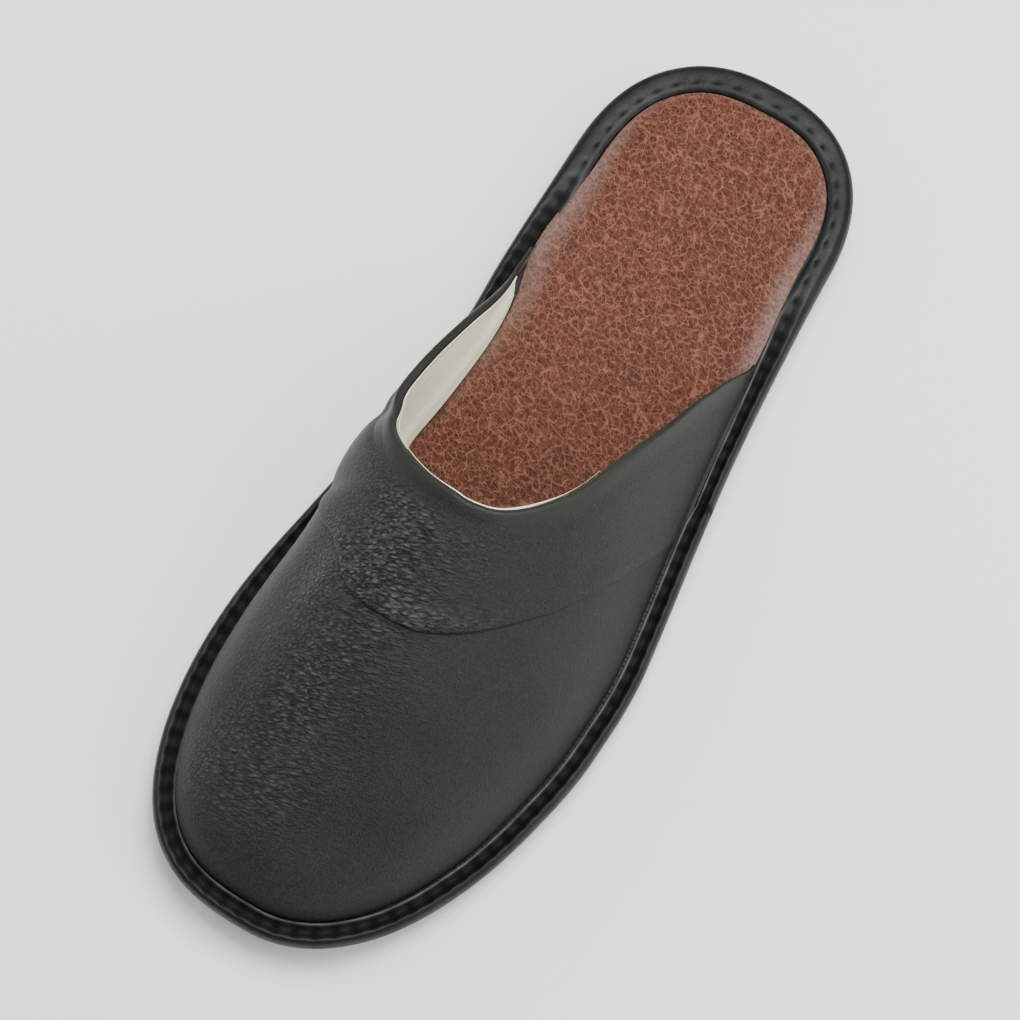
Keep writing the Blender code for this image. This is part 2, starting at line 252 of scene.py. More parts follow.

# Section of the binding from its lower edge over the roll to its lip, round the forefoot and round
# the heel: how far in, how high, and how deep in the stitched groove, which also sets its painted
# shade.
# raw: the cut edge, drawn pale, partly its own colour and partly a painted highlight
BINDING_SECTION = np.array([
    # order, forefoot in, forefoot up, groove, heel in, heel up, groove, raw
    (0, 5.00, 0.00, 0.0, 5.00, 0.00, 0.0, 0.0),
    (1, 3.00, 0.00, 0.0, 3.00, 0.00, 0.0, 0.0),
    (2, 1.50, 0.35, 0.0, 1.50, 0.35, 0.0, 0.0),
    (3, 0.45, 1.40, 0.0, 0.45, 1.40, 0.0, 0.0),
    (4, 0.00, 3.10, 0.0, 0.00, 3.10, 0.0, 0.0),
    (5, 0.28, 4.80, 0.0, 0.32, 4.90, 0.0, 0.0),
    (6, 0.90, 6.05, 0.0, 1.05, 6.15, 0.0, 0.0),
    (7, 1.65, 6.55, 0.1, 2.20, 6.86, 0.0, 0.0),
    (8, 2.35, 6.40, 0.5, 3.60, 7.00, 0.0, 0.0),
    (9, 3.00, 5.98, 0.9, 4.90, 6.98, 0.1, 0.0),
    (10, 3.65, 5.70, 1.0, 5.85, 6.93, 0.5, 0.0),
    (11, 4.30, 5.72, 1.0, 6.30, 6.91, 0.5, 0.0),
    (12, 4.90, 6.00, 0.9, 6.95, 6.86, 0.1, 0.0),
    (13, 5.40, 6.35, 0.5, 7.80, 6.72, 0.0, 0.1),
    (14, 5.80, 6.62, 0.0, 8.60, 6.38, 0.2, 1.0),
    (15, 6.05, 6.66, 0.1, 8.95, 6.05, 0.6, 1.0),
    (16, 6.15, 6.35, 1.0, 9.00, 5.75, 1.0, 0.0),
])
CREST_ROW = 7
GROOVE_ORDER = 10.5

# Rows of the insole's points, in millimetres in from its edge
INSOLE_ROWS = (1.5, 2.5, 3.5, 4.5, 6, 7.5, 9, 10.5, 12.5, 15, 18, 22, 27, 33, 40, 60)

# The stage, in metres: each light's place and size, and the camera's
LIGHTS = (
    # name, at, size
    ("key", (-0.06, -0.32, 1.05), 0.60),
    ("fill", (-0.85, -0.10, 0.60), 0.80),
    ("rim", (0.82, 0.02, 0.62), 0.50),
)
LIGHTS_AIM = (0.0, 0.02, 0.02)
CAMERA_AT = (-0.1140, 0.2023, 0.6980)
CAMERA_AIM = (0.0011, 0.0075, 0.010)


def curve_through(table, column, at):
    """A smooth curve through one column of a table, read at values of its first column."""
    keys, values = table[:, 0], table[:, column]
    slopes = np.gradient(values, keys)
    at = np.clip(at, keys[0], keys[-1])
    low = np.clip(np.searchsorted(keys, at, side="right") - 1, 0, len(keys) - 2)
    step = keys[low + 1] - keys[low]
    s = (at - keys[low]) / step
    return ((2 * s**3 - 3 * s**2 + 1) * values[low] + (s**3 - 2 * s**2 + s) * step * slopes[low]
            + (3 * s**2 - 2 * s**3) * values[low + 1] + (s**3 - s**2) * step * slopes[low + 1])


def ease(start, end, value):
    """0 before start, 1 after end, and a smooth step between."""
    s = np.clip((value - start) / (end - start), 0.0, 1.0)
    return s * s * (3 - 2 * s)


def hump(value, width, middle=0.0):
    """1 where value is at the middle, and falling away over width on both sides."""
    return np.exp(-(((value - middle) / width) ** 2))


def run_lengths(points):
    """Distance along each row of points from its first one."""
    steps = np.linalg.norm(np.diff(points, axis=-2), axis=-1)
    return np.concatenate([np.zeros((*steps.shape[:-1], 1)), np.cumsum(steps, axis=-1)], -1)


def toe_share(along, end=1.0):
    """0 up to where the toe starts to round, 1 at its end."""
    return np.clip((along - TOE_ROUND_START) / (end - TOE_ROUND_START), 0.0, 1.0)


def half_width(side, along):
    """Width of the outline from the long axis, without the rounding of its ends."""
    width = np.where(side > 0, curve_through(OUTLINE, 1, along), curve_through(OUTLINE, 2, along))
    return width * BALL_WIDTH / 2


def toe_fullness(side):
    return np.where(side > 0, INNER_TOE_FULLNESS, OUTER_TOE_FULLNESS)


def along_at(turn):
    """Share of the sole's length at a turn round its edge: 0 at the heel, 0.5 at the toe."""
    return (1 - np.cos(2 * math.pi * turn)) / 2


def outline(turn):
    """Plan points of the sole's edge: up the inner side and back down the outer one."""
    along = along_at(turn)
    side = np.where(np.mod(turn, 1.0) < 0.5, 1, -1)
    full = toe_fullness(side)
    width = half_width(side, along)
    centre = TOE_CENTRE_OFFSET * side
    toe = centre + (width - centre) * (1 - toe_share(along) ** full) ** (1 / full)
    behind = np.maximum(0, 1 - along * SOLE_LENGTH / HEEL_ROUND_LENGTH)
    heel = width * (1 - behind**HEEL_FULLNESS) ** (1 / HEEL_FULLNESS)
    across = side * np.where(along > TOE_ROUND_START, toe, heel)
    return np.stack([across, (along - 0.5) * SOLE_LENGTH], -1)


def inset_outline(turn, inset):
    """Plan points a distance inside the sole's edge."""
    step = 1 / 88
    tangent = outline(turn + step) - outline(turn - step)
    tangent /= np.linalg.norm(tangent, axis=-1, keepdims=True)
    inward = np.stack([-tangent[..., 1], tangent[..., 0]], -1)
    return outline(turn) + inward * np.broadcast_to(inset, turn.shape)[..., None]


def ring(turn, inset, height):
    """A ring of points inside the sole's edge, at a height for each."""
    heights = np.broadcast_to(height, turn.shape)
    return np.concatenate([inset_outline(turn, inset), heights[..., None]], -1)


def ground_rise(along):
    """Height of the sole's underside above the floor."""
    arch = ARCH_RISE * ease(ARCH_SPAN[0], ARCH_SPAN[1], along)
    arch = arch * (1 - ease(ARCH_SPAN[1], ARCH_SPAN[2], along))
    toe = TOE_SPRING * np.clip((along - TOE_SPRING_START) / (1 - TOE_SPRING_START), 0, 1) ** 2
    heel = HEEL_BEVEL_RISE * np.clip(1 - along / HEEL_BEVEL_END, 0, 1)
    return arch + toe + heel


def rubber_top(along):
    heel = HEEL_RUBBER - FOREPART_RUBBER
    return ground_rise(along) + FOREPART_RUBBER + heel * (1 - ease(*HEEL_WEDGE, along))


def seam_height(along):
    """Height at which upper and insole lie on the sole's core."""
    return rubber_top(along) + FIT_GAP + BINDING_HEIGHT - BINDING_THICKNESS


def lap_width(along):
    """How far the binding's top reaches in from the sole's edge."""
    return FOREPART_LAP + (HEEL_LAP - FOREPART_LAP) * (1 - ease(*LAP_NARROWS, along))


def ridge_x(along):
    return curve_through(LAST_SECTIONS, 2, along) * BALL_WIDTH / 2


def wall_width(side, along):
    """Plan distance from the ridge line to the seam, without the rounding of the toe."""
    return half_width(side, along) - lap_width(along) - FIT_GAP - side * ridge_x(along)


def along_of(y):
    return y / SOLE_LENGTH + 0.5


SEAM_TURNS = np.linspace(UPPER_BACK_TURN, 1 - UPPER_BACK_TURN, 2001)
SEAM_PLAN = inset_outline(SEAM_TURNS, lap_width(along_at(SEAM_TURNS)) + FIT_GAP)
SEAM_RUN = run_lengths(SEAM_PLAN)
SEAM_LENGTH = SEAM_RUN[-1]
SEAM_TOE = 1 - (FOREPART_LAP + FIT_GAP) / SOLE_LENGTH
SKIRT = BINDING_THICKNESS + FIT_GAP


def seam_turn(t):
    return np.interp(t, SEAM_RUN / SEAM_LENGTH, SEAM_TURNS)


def seam_plan(t):
    turn = seam_turn(t)
    return inset_outline(turn, lap_width(along_at(turn)) + FIT_GAP)


def topline_plan(t):
    along = curve_through(TOPLINE, 1, t)
    angle = np.radians(curve_through(TOPLINE, 2, t))
    side = np.where(angle >= 0, 1, -1)
    inner, outer = (curve_through(LAST_SECTIONS, c, along) for c in (3, 4))
    full = np.where(side > 0, inner, outer)
    across = side * np.abs(np.sin(angle)) ** (2 / full) * wall_width(side, along)
    return np.stack([ridge_x(along) + across, (along - 0.5) * SOLE_LENGTH], -1)


def reach(plan):
    """0 on the ridge and 1 at the seam, the same with its side, and the way in which it grows."""
    along = along_of(plan[..., 1])
    offset = plan[..., 0] - ridge_x(along)
    side = np.where(offset >= 0, 1, -1)
    width, full = wall_width(side, along), toe_fullness(side)
    across = np.abs(offset) / width
    forward = toe_share(along, SEAM_TOE)
    share = np.where(forward > 0, (across**full + forward**full) ** (1 / full), across)
    toe_length = (SEAM_TOE - TOE_ROUND_START) * SOLE_LENGTH
    grow = np.stack([side * across ** (full - 1) / width, forward ** (full - 1) / toe_length], -1)
    grow /= np.linalg.norm(grow, axis=-1, keepdims=True) + 1e-9
    return share, side * across, grow


def last_point(t, w):
    """Points of the last's surface."""
    seam = seam_plan(t)
    plan = topline_plan(t) * (1 - w[..., None]) + seam * w[..., None]
    share, signed, grow = reach(plan)
    seam_share = reach(seam)[0]
    share = np.clip(share * (1 + (1 / seam_share - 1) * (share / seam_share) ** 2), 0, 1)
    along = along_of(plan[..., 1])
    inner = ease(0, 1, 0.5 + 0.5 * np.clip(signed, -1, 1))
    full, bulge = (curve_through(LAST_SECTIONS, c, along) * inner
                   + curve_through(LAST_SECTIONS, c + 1, along) * (1 - inner) for c in (3, 5))
    low = seam_height(along) + SKIRT
    rise = (1 - share**full) ** (1 / full)
    height = low + (curve_through(LAST_SECTIONS, 1, along) * INSTEP_HEIGHT - low) * rise
    swell = bulge * BALL_WIDTH / 2 * np.sin(math.pi * rise**0.8) * ease(0, 0.5, share)
    return np.concatenate([plan + grow * swell[..., None], height[..., None]], -1)


def rim_depth(t):
    """How far the rolled topline reaches in from the last's surface, thinnest at its two ends."""
    ends = ease(0.0, 0.075, t) * (1 - 0.85 * ease(0.80, 0.965, t))
    return THINNEST_RIM + (UPPER_WALL - 0.0005) * ends


def fold_depth(points):
    """How deep the listed folds press in at points."""
    depth = np.zeros(points.shape[:-1])
    for x, y, bearing, length, width, deep in FOLDS:
        dx, dy = points[..., 0] / MM - x, points[..., 1] / MM - y
        turn = math.radians(bearing)
        run = dx * math.sin(turn) + dy * math.cos(turn)
        off = dx * math.cos(turn) - dy * math.sin(turn)
        depth += deep * MM * hump(run, length) * hump(off, width)
    return depth


def last_frame(t, w):
    """Points of the folded surface, its outward normals, and the way up to the topline."""
    eps = 1e-3
    up = last_point(t, np.maximum(w - eps, 0)) - last_point(t, np.minimum(w + eps, 1))
    round_toe = last_point(np.minimum(t + eps, 1), w) - last_point(np.maximum(t - eps, 0), w)
    normal = np.cross(round_toe, up)
    normal /= np.linalg.norm(normal, axis=-1, keepdims=True) + 1e-15
    up /= np.linalg.norm(up, axis=-1, keepdims=True) + 1e-15
    points = last_point(t, w)
    return points - normal * fold_depth(points)[..., None], normal, up


# Mesh making


def swept(sections, values=None, joined=False):
    """A tube made by extruding a ring of points through sections, each an array of its points.

    values holds named numbers for every point, which become attributes. joined bridges the last
    section to the first; otherwise both ends are closed."""
    work = bmesh.new()
    place = work.verts.layers.int.new("place")
    layers = {key: work.verts.layers.float.new(key) for key in values or {}}
    count = len(sections[0])
    verts = bmesh.ops.create_circle(work, segments=count, radius=1.0)["verts"]
    for index, vert in enumerate(verts):
        vert[place] = index
    edges = first = list(work.edges)
    for step, section in enumerate(sections):
        if step:
            made = bmesh.ops.extrude_edge_only(work, edges=edges)["geom"]
            verts = [item for item in made if isinstance(item, bmesh.types.BMVert)]
            new = set(verts)
            edges = [item for item in made if isinstance(item, bmesh.types.BMEdge)
                     and item.verts[0] in new and item.verts[1] in new]
        for vert in verts:
            vert.co = section[vert[place]]
            for key, layer in layers.items():
                vert[layer] = values[key][step][vert[place]]
    if joined:
        bmesh.ops.bridge_loops(work, edges=first + edges)
    else:
        bmesh.ops.edgeloop_fill(work, edges=first)
        bmesh.ops.edgeloop_fill(work, edges=edges)
    return work


def placed(name, data, at=(0, 0, 0), aim=None):
    """Puts data in the scene as an object at a place, looking towards aim."""
    made = bpy.data.objects.new(name, data)
    made.location = at
    if aim:
        made.rotation_mode = "QUATERNION"
        made.rotation_quaternion = (Vector(aim) - Vector(at)).to_track_quat("-Z", "Y")
    bpy.context.scene.collection.objects.link(made)
    return made


def finished(name, work, finish, node=None, weld=0.0):
    """Turns a bmesh into a piece that rides on the slipper, with its material."""
    if weld:
        bmesh.ops.remove_doubles(work, verts=work.verts, dist=weld)
    bmesh.ops.recalc_face_normals(work, faces=work.faces)
    mesh = bpy.data.meshes.new(name)
    work.to_mesh(mesh)
    work.free()
    mesh.shade_smooth()
    mesh.set_sharp_from_angle(angle=math.radians(50))
    piece = placed(name, mesh)
    mesh.materials.append(finish)
    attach(piece, "root")
    if node:
        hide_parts(node)
    return piece


def closed_sections(outer, inner):
    """Rings that go out along one row of points and back along another."""
    return np.concatenate([outer, inner[:, ::-1]], 1)


# Shader maths, and the finishes. A pattern's scale is in features a metre, and the shares in which
# patterns and colours are mixed are given


def both_ways(operation):
    """A wire's operator that adds a Math node, and the same with its two sides exchanged."""
    def forward(self, other):
        return self.maths(operation, self, other)

    def reflected(self, other):
        return self.maths(operation, other, self)

    return forward, reflected


class Wire:
    """A node's output that can be reckoned with: each operator adds a Math node."""

    def __init__(self, finish, socket):
        self.finish = finish
        self.socket = socket

    def maths(self, operation, *values):
        return self.finish.add("ShaderNodeMath", {"operation": operation}, dict(enumerate(values)))

    __add__, __radd__ = both_ways("ADD")
    __sub__, __rsub__ = both_ways("SUBTRACT")
    __mul__, __rmul__ = both_ways("MULTIPLY")
    __truediv__, __rtruediv__ = both_ways("DIVIDE")
    __pow__, __rpow__ = both_ways("POWER")

    def between(self, low, high):
        """0 at low, 1 at high, smooth between."""
        sockets = {"Value": self, "From Min": low, "From Max": high}
        return self.finish.add("ShaderNodeMapRange", {"interpolation_type": "SMOOTHSTEP"}, sockets)


class Finish:
    """A material under construction, with its Principled shader."""

    def __init__(self, name, roughness, specular=0.5, **shader_values):
        self.material = bpy.data.materials.new(name)
        self.material.use_nodes = True
        self.nodes = self.material.node_tree.nodes
        self.shader = self.nodes["Principled BSDF"]
        self.shader.inputs["Roughness"].default_value = roughness
        self.shader.inputs["Specular IOR Level"].default_value = specular
        for key, value in shader_values.items():
            self.shader.inputs[key.replace("_", " ").title()].default_value = value

    def add(self, kind, settings=None, sockets=None, output=0):
        """Adds a node of a kind: its settings first, then its sockets. Returns one output."""
        node = self.nodes.new(kind)
        for key, value in (settings or {}).items():
            setattr(node, key, value)
        for key, value in (sockets or {}).items():
            self.feed(node.inputs[key], value)
        return Wire(self, node.outputs[output])

    def feed(self, socket, value):
        if isinstance(value, Wire):
            self.material.node_tree.links.new(value.socket, socket)
        else:
            socket.default_value = value

    def place(self, stretch=(1, 1, 1), turn=0):
        """Object coordinates, turned about Z by degrees and then drawn out along each axis."""
        at = self.add("ShaderNodeTexCoord", output="Object")
        sockets = {"Vector": at, "Scale": stretch, "Rotation": (0, 0, math.radians(turn))}
        return self.add("ShaderNodeMapping", {"vector_type": "TEXTURE"}, sockets)

    def attribute(self, name):
        return self.add("ShaderNodeAttribute", {"attribute_name": name}, output="Fac")

    def noise(self, scale, detail=3.0, rough=0.5, at=None):
        """Noise on given coordinates, or on the plain ones."""
        at = at or self.place()
        sockets = {"Vector": at, "Scale": scale, "Detail": detail, "Roughness": rough}
        return self.add("ShaderNodeTexNoise", None, sockets)

    def stirred(self, at, scale, amount):
        """Coordinates pushed about by noise, so that a pattern on them wanders."""
        push = self.add("ShaderNodeTexNoise", None, {"Vector": at, "Scale": scale}, "Color")
        centred = self.vector("SUBTRACT", push, (0.5, 0.5, 0.5))
        return self.vector("ADD", at, self.vector("SCALE", centred, Scale=amount))

    def vector(self, operation, *values, **named):
        sockets = {**dict(enumerate(values)), **named}
        return self.add("ShaderNodeVectorMath", {"operation": operation}, sockets)

    def cracks(self, at, scale):
        """Distance to the nearest edge between cells."""
        sockets = {"Vector": at, "Scale": scale}
        return self.add("ShaderNodeTexVoronoi", {"feature": "DISTANCE_TO_EDGE"}, sockets)

    def mix(self, amount, first, second):
        sockets = {0: amount, 6: opaque(first), 7: opaque(second)}
        return self.add("ShaderNodeMix", {"data_type": "RGBA"}, sockets, 2)

    def bump(self, height, distance, strength=1.0, under=None):
        sockets = {"Height": height, "Distance": distance, "Strength": strength}
        if under:
            sockets["Normal"] = under
        return self.add("ShaderNodeBump", None, sockets)

    def done(self, colour, roughness=None, normal=None, coat=None):
        self.feed(self.shader.inputs["Base Color"], opaque(colour))
        if roughness:
            self.feed(self.shader.inputs["Roughness"], roughness)
        if normal:
            self.feed(self.shader.inputs["Normal"], normal)
        if coat:
            self.feed(self.shader.inputs["Coat Weight"], coat)
        return self.material


def opaque(colour):
    return colour if isinstance(colour, Wire) else (*colour[:3], 1.0)


# The three sets of creases that make the insole's net. bearing: degrees; stretch: length to width
NET_WAYS = (
    # bearing, stretch, size, width
    (-20, 2.4, 1.0, 0.115),
    (112, 2.0, 0.9, 0.115),
    (26, 1.3, 0.5, 0.20),
)


def upper_leather(name, settings):
    """Charcoal leather: rippled where the grain attribute is 1, fine where it is 0. The ripple tops
    carry a painted highlight, their hollows painted shade, and the smooth roll a paler painted
    sheen.
    """
    finish = Finish(name, settings.roughness, specular=0.24, coat_roughness=0.34)
    grain = finish.attribute("grain")
    smooth = finish.attribute("smooth")
    lie = finish.place(stretch=(3.0, 1.0, 1.0), turn=18)
    at = finish.stirred(lie, 420.0, 0.0010)
    cells = finish.cracks(at, 1 / settings.ripple_width).between(0.0, 0.46)
    ridges = finish.noise(1.1 / settings.ripple_width, 2.0, 0.55, at).between(0.36, 0.64)
    ripples = cells * 0.66 + ridges * 0.46
    small = finish.cracks(finish.stirred(finish.place(), 800.0, 0.0004), 1650.0).between(0.0, 0.45)
    pores = finish.noise(1400.0, 4.0, 0.7).between(0.32, 0.68)
    broad = finish.noise(30.0, 4.0).between(0.32, 0.68)
    tops = ripples * grain
    # Painted shade: the hollows between the ripples are darkened towards the dark colour.
    shaded_hollows = (1.0 - ripples) * grain
    fine = (small * 0.6 + pores * 0.5) * (1.0 - smooth * 0.7)
    # The smooth term makes the rolled topline paler: a painted sheen.
    shade = (fine * 0.62 + 0.22 * broad + 0.16 * smooth) * (1.0 - shaded_hollows * 0.85)
    colour = finish.mix(shade, settings.dark_colour, settings.light_colour)
    # Painted highlight: the tops of the ripples are mixed towards a pale colour.
    colour = finish.mix(tops ** 1.6 * 0.90, colour, settings.ripple_highlight_colour)
    rough = settings.roughness + 0.08 * broad - 0.12 * tops - 0.05 * smooth
    normal = finish.bump(fine, 0.00019)
    normal = finish.bump(tops, settings.ripple_depth, under=normal)
    return finish.done(colour, rough, normal, settings.coat * tops)


def binding_leather(settings):
    """Smooth black leather, with painted shade in the stitched groove and a paler raw upper edge,
    partly a painted highlight.
    """
    finish = Finish("binding leather", settings.roughness, specular=0.12, coat_roughness=0.36)
    groove, raw = finish.attribute("groove"), finish.attribute("raw")
    wrinkles = finish.noise(1000.0, 4.0, 0.6, finish.stirred(finish.place(), 300.0, 0.001))
    patches = finish.noise(110.0, 4.0, 0.6).between(0.35, 0.7)
    shade = patches * 0.3 + wrinkles * 0.5
    colour = finish.mix(shade, settings.dark_colour, settings.light_colour)
    # Painted shade: the groove, its stitch dimples, the slits and the hidden underside are darkened
    # towards black.
    colour = finish.mix(groove * 0.9, colour, (0.0016, 0.0016, 0.0018))
    # The raw cut edge is paler: partly the cut leather's own colour, partly a painted highlight
    # where the lip catches light.
    colour = finish.mix(raw * (0.35 + 0.65 * wrinkles), colour, settings.raw_edge_and_highlight_colour)
    rough = settings.roughness + 0.15 * wrinkles + 0.25 * groove + 0.2 * raw
    normal = finish.bump(wrinkles + patches * 0.5, 0.00016)
    coat = (1.0 - groove).between(0.2, 1.0) * (0.11 + 0.07 * patches) * (1.0 - raw)
    return finish.done(colour, rough, normal, coat)


def sock_leather(settings):
    """Brown leather with a net of paler creases, smooth towards its edge and painted pale there: a
    painted sheen and reflection of the lining.
    """
    finish = Finish("insole leather", settings.roughness, specular=0.22)
    edge = finish.attribute("edge")
    creases = []
    for turn, stretch, size, width in NET_WAYS:
        lie = finish.place(stretch=(stretch, 1.0, 1.0), turn=turn)
        at = finish.stirred(lie, 300.0, 0.0016)
        cells = finish.cracks(at, 1 / settings.net_size / size)
        creases.append(1.0 - cells.between(0.0, width))
    faded = finish.noise(200.0, 3.0).between(0.34, 0.64)
    main = creases[0] * (0.35 + 0.65 * faded)
    crossing = creases[1] * (1.0 - 0.6 * faded)
    lines = (main + crossing + creases[2] * 0.40).between(0.0, 1.3)
    pits = finish.noise(850.0, 4.0, 0.65).between(0.38, 0.62)
    broad = finish.noise(24.0, 4.0).between(0.30, 0.70)
    ground = finish.mix(broad, settings.dark_colour, settings.colour)
    ground = finish.mix(pits * 0.85, ground, settings.pit_colour)
    colour = finish.mix(lines * 0.72, ground, settings.line_colour)
    mottle = finish.noise(420.0, 4.0, 0.7)
    # Painted sheen: the edge is mixed towards a pale colour, standing for grazing light and the
    # lining's reflection.
    painted_edge_sheen = (edge * (0.30 + 1.2 * mottle)).between(0.05, 0.95) * (0.72 - 0.30 * pits)
    colour = finish.mix(painted_edge_sheen, colour, settings.edge_sheen_colour)
    rough = settings.roughness + 0.12 * pits
    height = lines * (1.0 - 0.5 * edge) - pits * 0.35
    return finish.done(colour, rough, finish.bump(height, settings.net_depth))


def lining_cloth(settings):
    """Cream lining with a fine close weave."""
    finish = Finish("lining", 0.85, specular=0.2)
    weave = finish.noise(1700.0, 2.0)
    shade = finish.noise(90.0, at=finish.place(stretch=(1.0, 2.8, 0.7))).between(0.35, 0.75)
    colour = finish.mix(shade * 0.5 + weave * 0.25, settings.lining_colour, settings.lining_shade)
    return finish.done(colour, None, finish.bump(weave + shade * 1.5, 0.00012))


def thread(settings):
    finish = Finish("thread", 0.75, specular=0.08)
    ply = finish.noise(1800.0, 2.0)
    return finish.done(finish.mix(ply, (0.0015, 0.0015, 0.002), settings.thread_colour))


def sole_rubber(settings):
    """Matte black rubber with fine cross ribs under the sole and a dusty bloom."""
    finish = Finish("sole rubber", 0.72)
    at = finish.place()
    height = finish.add("ShaderNodeSeparateXYZ", None, {0: at}, 2)
    under = 1.0 - height.between(0.0085, 0.0100)
    scale = 1 / settings.rib_pitch / 3.2
    sockets = {"Vector": at, "Scale": scale, "Distortion": 1.6, "Detail": 0.0}
    ribs = finish.add("ShaderNodeTexWave", {"bands_direction": "Y"}, sockets, 1).between(0.25, 0.6)
    bloom = finish.noise(120.0, 5.0, 0.65, at)
    specks = finish.noise(2200.0, 2.0, at=at)
    colour = finish.mix(bloom, settings.rubber_colour, settings.bloom_colour)
    base = finish.bump(specks, 0.00008)
    return finish.done(colour, 0.6 + 0.25 * bloom, finish.bump(ribs * under, 0.0006, under=base))


def floor_finish(settings):
    finish = Finish("floor", 0.9)
    haze = finish.noise(3.0, 2.0)
    pale = settings.floor_colour
    return finish.done(finish.mix(haze * 0.04, pale, tuple(c * 0.9 for c in pale)))


# Settings that a user would change


def colour_property(name, description, default):
    return bpy.props.FloatVectorProperty(
        name=name, description=description, default=default, subtype="COLOR", min=0.0, max=1.0)


def length_property(name, description, default):
    return bpy.props.FloatProperty(
        name=name, description=description, default=default, min=0.0, unit="LENGTH", precision=5)


def share_property(name, description, default):
    return bpy.props.FloatProperty(
        name=name, description=description, default=default, min=0.0, max=1.0, subtype="FACTOR")


class UpperSettings(bpy.types.PropertyGroup):
    # Besides the fine grain's dark tone, this colour is the painted shade in the hollows between
    # the ripples.
    dark_colour: colour_property(
        "Dark colour", "Leather in the hollows of its grain", (0.0020, 0.0022, 0.0016))
    light_colour: colour_property(
        "Light colour", "Leather on the tops of its fine grain", (0.0300, 0.0314, 0.0240))
    # A painted highlight: the pale colour laid on the tops of the ripples, where light catches
    # them.
    ripple_highlight_colour: colour_property(
        "Ripple tops", "Leather rubbed on the tops of its ripples", (0.0840, 0.0860, 0.0740))
    roughness: share_property("Roughness", "How dull the leather is", 0.47)
    coat: share_property("Coat", "Strength of the sheen on its ripples", 0.14)
    ripple_width: length_property("Ripple width", "Width of one ripple of the grain", 0.00105)
    ripple_depth: length_property("Ripple depth", "Depth of the rippled grain", 0.00065)
    band_thickness: length_property("Band thickness", "Thickness of the instep band", 0.00100)
    fold_height: length_property("Fold height", "Extra height of its folded front edge", 0.00050)
    pucker_pitch: length_property("Pucker pitch", "Spacing of the puckers at the fold", 0.0036)
    pucker_depth: length_property("Pucker depth", "Depth of the puckers at the fold", 0.00013)
    roll_height: length_property("Roll height", "Half height of the rolled topline", 0.0013)
    turn_in: length_property("Turn-in", "Leather turned in over the lining", 0.0012)


class BindingSettings(bpy.types.PropertyGroup):
    dark_colour: colour_property(
        "Dark colour", "Binding leather in its creases", (0.0020, 0.0022, 0.0022))
    light_colour: colour_property(
        "Light colour", "Binding leather where it is rubbed", (0.0115, 0.0128, 0.0126))
    # Partly the cut edge's own colour and partly a painted highlight along the lip.
    raw_edge_and_highlight_colour: colour_property("Raw edge", "Cut edge of the binding", (0.13, 0.125, 0.12))
    thread_colour: colour_property("Thread", "Sewing thread", (0.0040, 0.0040, 0.0042))
    roughness: share_property("Roughness", "How dull the binding is", 0.42)
    stitch_pitch: length_property("Stitch pitch", "Spacing of the stitches", 0.0053)
    stitch_length: length_property("Stitch length", "Length of thread that shows", 0.0021)
    thread_width: length_property("Thread width", "Diameter of the sewing thread", 0.0007)
    hole_depth: length_property("Hole depth", "Depth of the dimple at each stitch", 0.00038)
    plumpness: length_property("Plumpness", "Rise of the leather between stitches", 0.00010)
    joint_swell: length_property("Joint swell", "Height of the lap where bindings meet", 0.0004)


class InsideSettings(bpy.types.PropertyGroup):
    colour: colour_property("Insole", "Insole leather", (0.105, 0.0270, 0.0115))
    dark_colour: colour_property(
        "Insole dark", "Insole leather in its patches", (0.078, 0.0190, 0.0082))
    pit_colour: colour_property("Insole pits", "Pits between the creases", (0.020, 0.0044, 0.0020))
    line_colour: colour_property(
        "Insole net", "Paler creases of the insole", (0.225, 0.0900, 0.0560))
    # Painted sheen: the pale colour along the insole's edge stands for grazing light and the
    # lining's reflection.
    edge_sheen_colour: colour_property("Insole edge", "Rubbed edge of the insole", (0.200, 0.140, 0.118))
    lining_colour: colour_property("Lining", "Lining cloth", (0.90, 0.92, 0.68))
    lining_shade: colour_property("Lining shade", "Lining cloth in its folds", (0.74, 0.76, 0.58))
    roughness: share_property("Roughness", "How dull the insole is", 0.55)
    net_size: length_property("Net size", "Width of the insole's creased cells", 0.0018)
    net_depth: length_property("Net depth", "Height of the insole's creases", 0.00022)
    crown: length_property("Crown", "Rise of the padded insole above its edge", 0.0022)
    crown_width: length_property("Crown width", "Distance over which the insole rises", 0.016)
    edge_height: length_property("Edge height", "Thickness of the insole at its edge", 0.0009)
    bead_width: length_property("Lining edge", "Width of the lining's edge at the topline", 0.0008)


class SoleSettings(bpy.types.PropertyGroup):
    rubber_colour: colour_property("Rubber", "Sole rubber", (0.012, 0.012, 0.013))
    bloom_colour: colour_property("Bloom", "Dusty bloom on the rubber", (0.045, 0.045, 0.047))
    rib_pitch: length_property("Rib pitch", "Spacing of the tread's ribs", 0.0028)
    edge_round: length_property("Edge round", "Rounding of the sole's lower edge", 0.0008)


class StageSettings(bpy.types.PropertyGroup):
    floor_colour: colour_property("Floor", "Pale floor", (0.96, 0.96, 0.96))
    key_power: bpy.props.FloatProperty(
        name="Key light", description="Power of the soft light overhead", default=17.0, min=0.0)
    fill_power: bpy.props.FloatProperty(
        name="Fill light", description="Power of the light on the outer side", default=8.0, min=0.0)
    rim_power: bpy.props.FloatProperty(
        name="Rim light", description="Power of the light on the inner side", default=3.5, min=0.0)
    sky: bpy.props.FloatProperty(
        name="Sky", description="Strength of the even light all round", default=0.42, min=0.0)
    lens: bpy.props.FloatProperty(
        name="Lens", description="Focal length", default=92.0, min=10.0, unit="CAMERA")


# Operators


